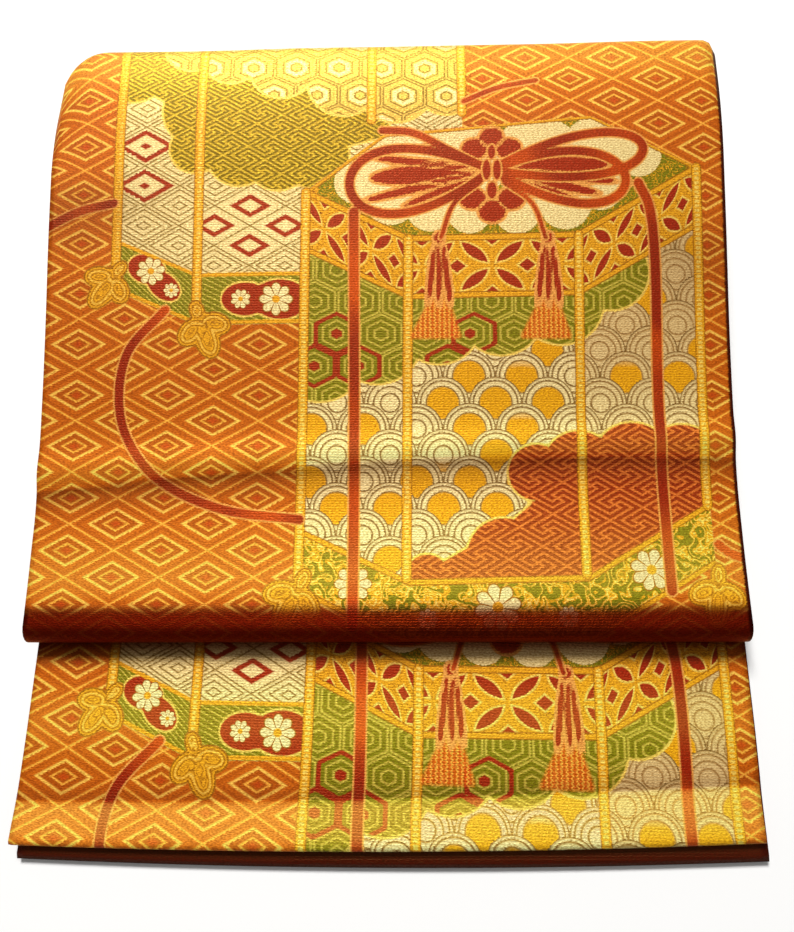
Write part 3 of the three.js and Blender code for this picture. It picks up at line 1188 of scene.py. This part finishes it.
# Painted shade multiplies the colour down and turns it dull red; painted highlight multiplies it up and
# lays a pale sheen on it
paintedLightLooks = {
    "paintedShade": (0.2, 0.07, 0.05, 1),
    "bright": (1.4, 1.8, 1.5, 1),
    "red": (0.85, 0.3),  # in the deepest folds the painted shade goes over to a dull red
    "redShare": 0.7,
    "paintedHighlight": 0.4,
    "metal": 0.2,
    "moreMetal": (0.7, 0.6),
    "metalShare": 0.7,
}


# Lays painted shade and painted highlight into the cloth's colour
def paintedShadeAndHighlight(colour, paintedShade, bright):
    looks = paintedLightLooks
    colour = dyed(colour, looks["paintedShade"], paintedShade)
    colour = painted(colour, dye["paintedShadeRed"], above(paintedShade, *looks["red"]) * looks["redShare"])
    colour = dyed(colour, looks["bright"], bright)
    return painted(colour, dye["paintedHighlight"], bright * bright * looks["paintedHighlight"])


def brocadeFace():
    material, tree, shader = newMaterial("brocade face")
    start = Wire(tree)
    clothMap = start.node("ShaderNodeUVMap", {"uv_map": "cloth"})
    x = start.node("ShaderNodeSeparateXYZ", None, {0: clothMap}, "X") * (1 / metre)
    y = start.node("ShaderNodeSeparateXYZ", None, {0: clothMap}, "Y") * (1 / metre)
    grain = clothNoise(x, y * weave["flatness"], Scale=1 / weave["thread"], Detail=1.0) - 0.5
    x = x + grain * weave["stray"]
    y = y - grain * weave["stray"]

    def field(name):
        value = start.node("ShaderNodeAttribute", {"attribute_name": name}, None, "Fac")
        return value + grain * weave["stray"] if name in distances else value

    low = repeat["foot"]
    wrapped = y.math("WRAP", y, low + repeat["length"], low)
    colour = groundCloth(x, y)
    colour = panelCloth(colour, field, x, wrapped)
    colour = boxCloth(colour, field, x, wrapped)
    colour = barsAndFeet(colour, field, x, wrapped)
    colour = flowerCloth(colour, field)
    colour = bowCloth(colour, field, x, wrapped)
    # Painted light read from the cloth: painted shade where it is below 0, painted highlight where above 0
    paintedLight = field("paintedLight")
    paintedShade = paintedLight.math("MULTIPLY", paintedLight, -1, clamp=True)
    bright = paintedLight.math("ADD", paintedLight, 0, clamp=True)
    colour = paintedShadeAndHighlight(colour, paintedShade, bright)
    # A dark band painted along the right selvedge: painted shade for the shaded edges of the plies beneath
    paintedShadeEdgeAt = fold["width"] - weave["selvedge"]
    colour = painted(colour, dye["hidden"], above(x, paintedShadeEdgeAt, weave["paintedShadeEdgeSoft"]))
    # The plain hidden cloth in a very dark red, partly its own dye and partly painted shade for the shade
    # under the lip
    colour = painted(colour, dye["hidden"], field("plain"))
    colour = dyed(colour, weave["shade"], above(grain, *weave["grainShade"]))
    ribs = abs(wrap(y, weave["rib"] / 2)) / weave["rib"]
    bar = field("bar") - weave["barReach"]
    figured = least(field("boxEdge"), field("panelEdge"), bar, field("cord"))
    figured = below(figured, 0, weave["figuredSoft"])
    more, anywhere = weave["ribShare"]
    ribShade = below(ribs, *weave["ribLine"]) * (figured * more + anywhere)
    colour = dyed(colour, weave["shade"], ribShade)
    tree.links.new(colour.socket, shader.inputs["Base Color"])
    more, anywhere = weave["ribHeight"]
    height = ribs * (figured * more + anywhere) + grain * weave["grainHeight"]
    relief = {"Height": height * weave["height"], "Strength": weave["relief"], "Distance": 1.0}
    bump = start.node("ShaderNodeBump", None, relief, "Normal")
    tree.links.new(bump.socket, shader.inputs["Normal"])
    rough = weave["rough"] - figured * weave["smoother"] + grain * weave["uneven"]
    tree.links.new(rough.socket, shader.inputs["Roughness"])
    # more metal where the painted shade is deep
    looks = paintedLightLooks
    metal = above(paintedShade, *looks["moreMetal"]) * looks["metalShare"] + looks["metal"]
    tree.links.new(metal.socket, shader.inputs["Metallic"])
    shader.inputs["Specular IOR Level"].default_value = weave["specular"]
    shader.inputs["Specular Tint"].default_value = dye["glint"]
    print("material", material.name, len(tree.nodes), "nodes")
    return material


plain = {
    "rib": 0.0011,
    "height": 0.00012,
    "spots": 900,
    "cloudSize": 9,
    "shade": (0.9, 0.5),
    "fleckSize": 420,
    "flecks": (0.61, 0.04),
    "fleckShare": 0.8,
    "relief": 0.6,
    "rough": 0.5,
    "uneven": 0.2,
    "specular": 0.35,
}


# Ribbed plain weave with uneven dye, and light flecks where the pattern's wefts turn back
def plainWeave(name, colour, flecks):
    material, tree, shader = newMaterial(name)
    start = Wire(tree)
    spot = start.node("ShaderNodeTexCoord", None, None, "Object")
    depth = start.node("ShaderNodeSeparateXYZ", None, {0: spot}, "Y")

    def noise(scale):
        return start.node("ShaderNodeTexNoise", None, {"Vector": spot, "Scale": scale}, 0)

    grain = noise(plain["spots"])
    cloud = noise(plain["cloudSize"])
    tint = dyed(colour, weave["shade"], above(grain + cloud, *plain["shade"]))
    bits = noise(plain["fleckSize"])
    tint = painted(tint, dye["fleck"], above(bits, *plain["flecks"]) * flecks)
    tree.links.new(tint.socket, shader.inputs["Base Color"])
    height = (abs(wrap(depth, plain["rib"] / 2)) / plain["rib"] + grain) * plain["height"]
    relief = {"Height": height, "Strength": plain["relief"], "Distance": 1.0}
    bump = start.node("ShaderNodeBump", None, relief, "Normal")
    tree.links.new(bump.socket, shader.inputs["Normal"])
    rough = plain["rough"] + grain * plain["uneven"]
    tree.links.new(rough.socket, shader.inputs["Roughness"])
    shader.inputs["Specular IOR Level"].default_value = plain["specular"]
    print("material", material.name, len(tree.nodes), "nodes")
    return material


face = brocadeFace()
reverse = plainWeave("plain reverse", dye["reverse"], 0)
selvedge = plainWeave("selvedge", dye["hidden"], plain["fleckShare"])
for name, settings in sheets.items():
    piece = foldedSheet(name, settings)
    for material in (face, reverse, selvedge):
        piece.data.materials.append(material)
    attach(piece, "root")
    span = sum(stretch[0] for stretch in settings["along"]) * metre
    print("sheet", name, len(piece.data.polygons), "faces")
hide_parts("obi")

studio = {"floor": 12.0, "floorDrop": 0.0002, "floorTone": tone(246, 245, 243), "floorRough": 0.7}
studio |= {"sky": 0.14, "skyTone": (1, 1, 1, 1)}


def makeFloor():
    mesh = bmesh.new()
    bmesh.ops.create_grid(mesh, x_segments=1, y_segments=1, size=studio["floor"] / 2)
    data = bpy.data.meshes.new("floor")
    mesh.to_mesh(data)
    mesh.free()
    floor = bpy.data.objects.new("floor", data)
    bpy.context.scene.collection.objects.link(floor)
    floor.location.z = -studio["floorDrop"]
    paper, _, shader = newMaterial("pale floor")
    shader.inputs["Base Color"].default_value = studio["floorTone"]
    shader.inputs["Roughness"].default_value = studio["floorRough"]
    floor.data.materials.append(paper)
    print("floor laid")


lamps = {
    "key": {"place": (-0.6, 2.2, 3.0), "power": 172, "size": 1.0},
    "fill": {"place": (0.2, 0.1, 1.6), "power": 2.5, "size": 1.0},
}


def makeLights():
    for name, settings in lamps.items():
        light = bpy.data.lights.new(name, "AREA")
        light.energy = settings["power"]
        light.size = settings["size"]
        lamp = bpy.data.objects.new(name, light)
        lamp.location = settings["place"]
        lamp.rotation_euler = (-Vector(settings["place"])).to_track_quat("-Z", "Y").to_euler()
        bpy.context.scene.collection.objects.link(lamp)
    world = bpy.data.worlds.new("studio")
    world.use_nodes = True
    background = world.node_tree.nodes["Background"]
    background.inputs["Color"].default_value = studio["skyTone"]
    background.inputs["Strength"].default_value = studio["sky"]
    bpy.context.scene.world = world
    print("lights hung,", len(lamps))


# The photograph's camera, fitted to the sash's edges: place in the fold's own millimetres
camera = {
    "focal": 758.2,  # in pixels of a picture 794 wide
    "elevation": 73.71,
    "yaw": -0.15,
    "roll": -0.2,
    "place": (7.58, 71.27, 348.74),
    "principal": (404.83, 460.63),
    "picture": (794, 932),
    "sensor": 36,
    "reach": (0.01, 20),
}


def makeCamera():
    wide, high = camera["picture"]
    lens = bpy.data.cameras.new("camera")
    lens.sensor_fit = "HORIZONTAL"
    lens.sensor_width = camera["sensor"]
    lens.lens = camera["focal"] / wide * camera["sensor"]
    lens.shift_x = (wide / 2 - camera["principal"][0]) / wide
    lens.shift_y = (camera["principal"][1] - high / 2) / wide
    lens.clip_start, lens.clip_end = camera["reach"]
    down, yaw, roll = (math.radians(camera[key]) for key in ("elevation", "yaw", "roll"))
    forward = Vector((math.sin(yaw) * math.cos(down), math.cos(yaw) * math.cos(down), -math.sin(down)))
    right = Vector((math.cos(yaw), -math.sin(yaw), 0))
    up = right.cross(forward)
    turnedRight = right * math.cos(roll) + up * math.sin(roll)
    turnedUp = up * math.cos(roll) - right * math.sin(roll)
    axes = Matrix((turnedRight, turnedUp, -forward)).transposed()
    holder = bpy.data.objects.new("camera", lens)
    holder.rotation_euler = axes.to_euler()
    holder.location = Vector(camera["place"]) * metre + Vector(shift)
    bpy.context.scene.collection.objects.link(holder)
    bpy.context.scene.camera = holder
    print("camera set")


makeFloor()
makeLights()
makeCamera()
bpy.context.scene.view_settings.view_transform = "Standard"
